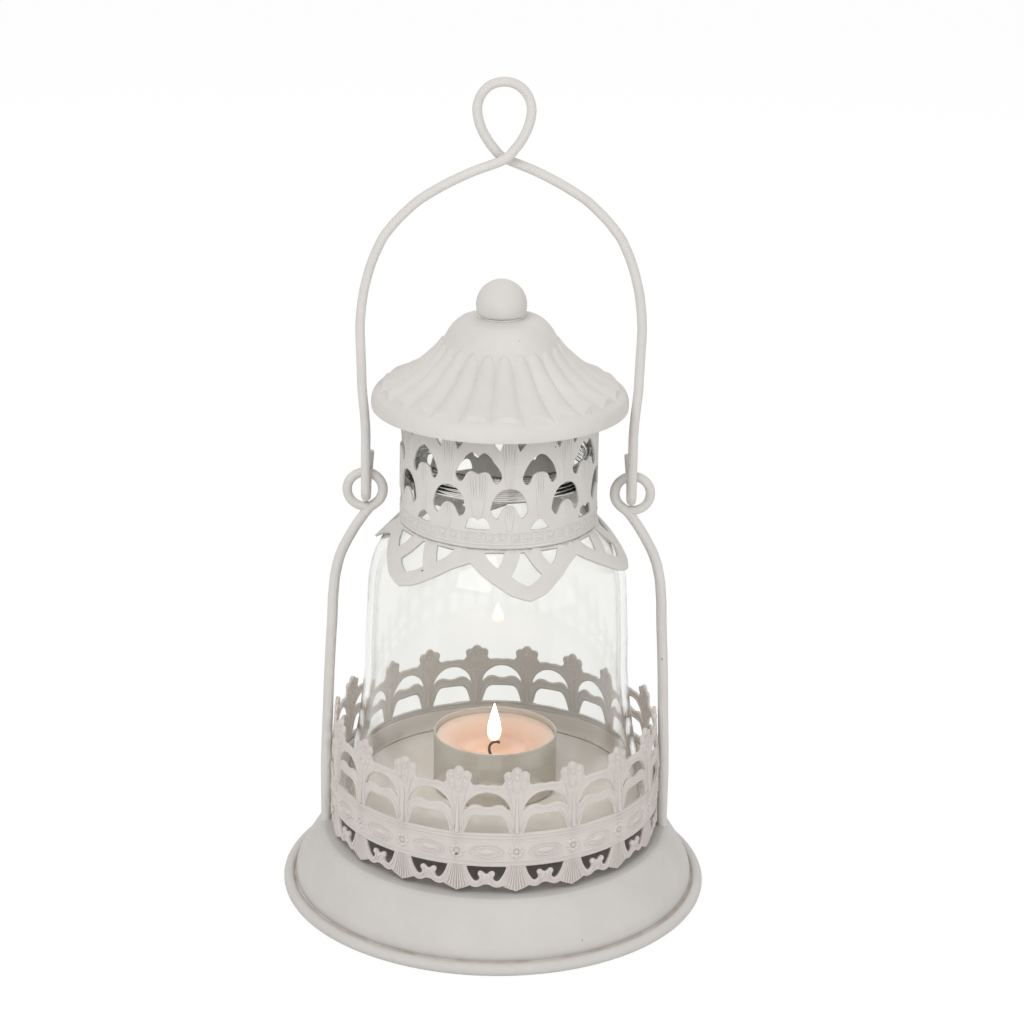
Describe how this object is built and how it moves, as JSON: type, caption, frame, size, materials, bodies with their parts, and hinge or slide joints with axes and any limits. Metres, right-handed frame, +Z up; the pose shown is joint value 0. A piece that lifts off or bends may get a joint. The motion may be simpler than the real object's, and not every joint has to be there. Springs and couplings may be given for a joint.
{
  "type": "tealight lantern",
  "caption": "Round tealight lantern: pressed dish base, pierced gallery round a pan, glass chimney, scalloped petal ring, pierced collar, fluted roof with ball finial, and a hooked wire bail.",
  "frame": {"origin": "centre of the face that the base stands on", "axes": "+Z up along the axis of the lantern, +X towards the right upright, front towards -Y"},
  "size_m": [0.131, 0.131, 0.2519],
  "materials": {
    "chalk_paint": "matt, chalky off-white, slightly uneven, with small chips",
    "chimney_glass": "clear, slightly wavy, polished",
    "bright_steel": "plain, lightly worn",
    "cup_aluminium": "thin pressed foil, satin",
    "wax": "warm, half translucent, glossy where melted",
    "wick": "charred cotton"
  },
  "bodies": {
    "frame": {"base_dish": "chalk_paint", "pan_spacer": "bright_steel", "centre_rivet": "bright_steel", "pan": "chalk_paint", "gallery_band": "chalk_paint", "left_upright": "chalk_paint", "right_upright": "chalk_paint"},
    "chimney": {"glass_chimney": "chimney_glass"},
    "petals": {"petal_ring": "chalk_paint"},
    "cap": {"collar_band": "chalk_paint", "roof": "chalk_paint", "roof_washer": "bright_steel", "finial_washer": "bright_steel", "finial_ball": "chalk_paint", "finial_screw": "bright_steel"},
    "bail": {"bail": "chalk_paint"},
    "tealight": {"tealight_cup": "cup_aluminium", "tealight_wax": "wax", "wick": "wick", "wick_tab": "cup_aluminium"}
  },
  "joints": [
    {"name": "bail_swing", "type": "hinge", "parent": "frame", "child": "bail", "pos_m": [0, 0, 0.1333], "axis": [1, 0, 0], "range_deg": [-145, 145]},
    {"name": "glass_lift", "type": "slide", "parent": "frame", "child": "chimney", "axis": [0, 0, 1], "range_m": [0, 0.006]},
    {"name": "petal_turn", "type": "hinge", "parent": "chimney", "child": "petals", "pos_m": [0, 0, 0.12], "axis": [0, 0, 1], "continuous": true},
    {"name": "cap_lift", "type": "slide", "parent": "petals", "child": "cap", "axis": [0, 0, 1], "range_m": [0, 0.024]},
    {"name": "tealight_lift", "type": "slide", "parent": "frame", "child": "tealight", "axis": [0, 0, 1], "range_m": [0, 0.11]}
  ]
}
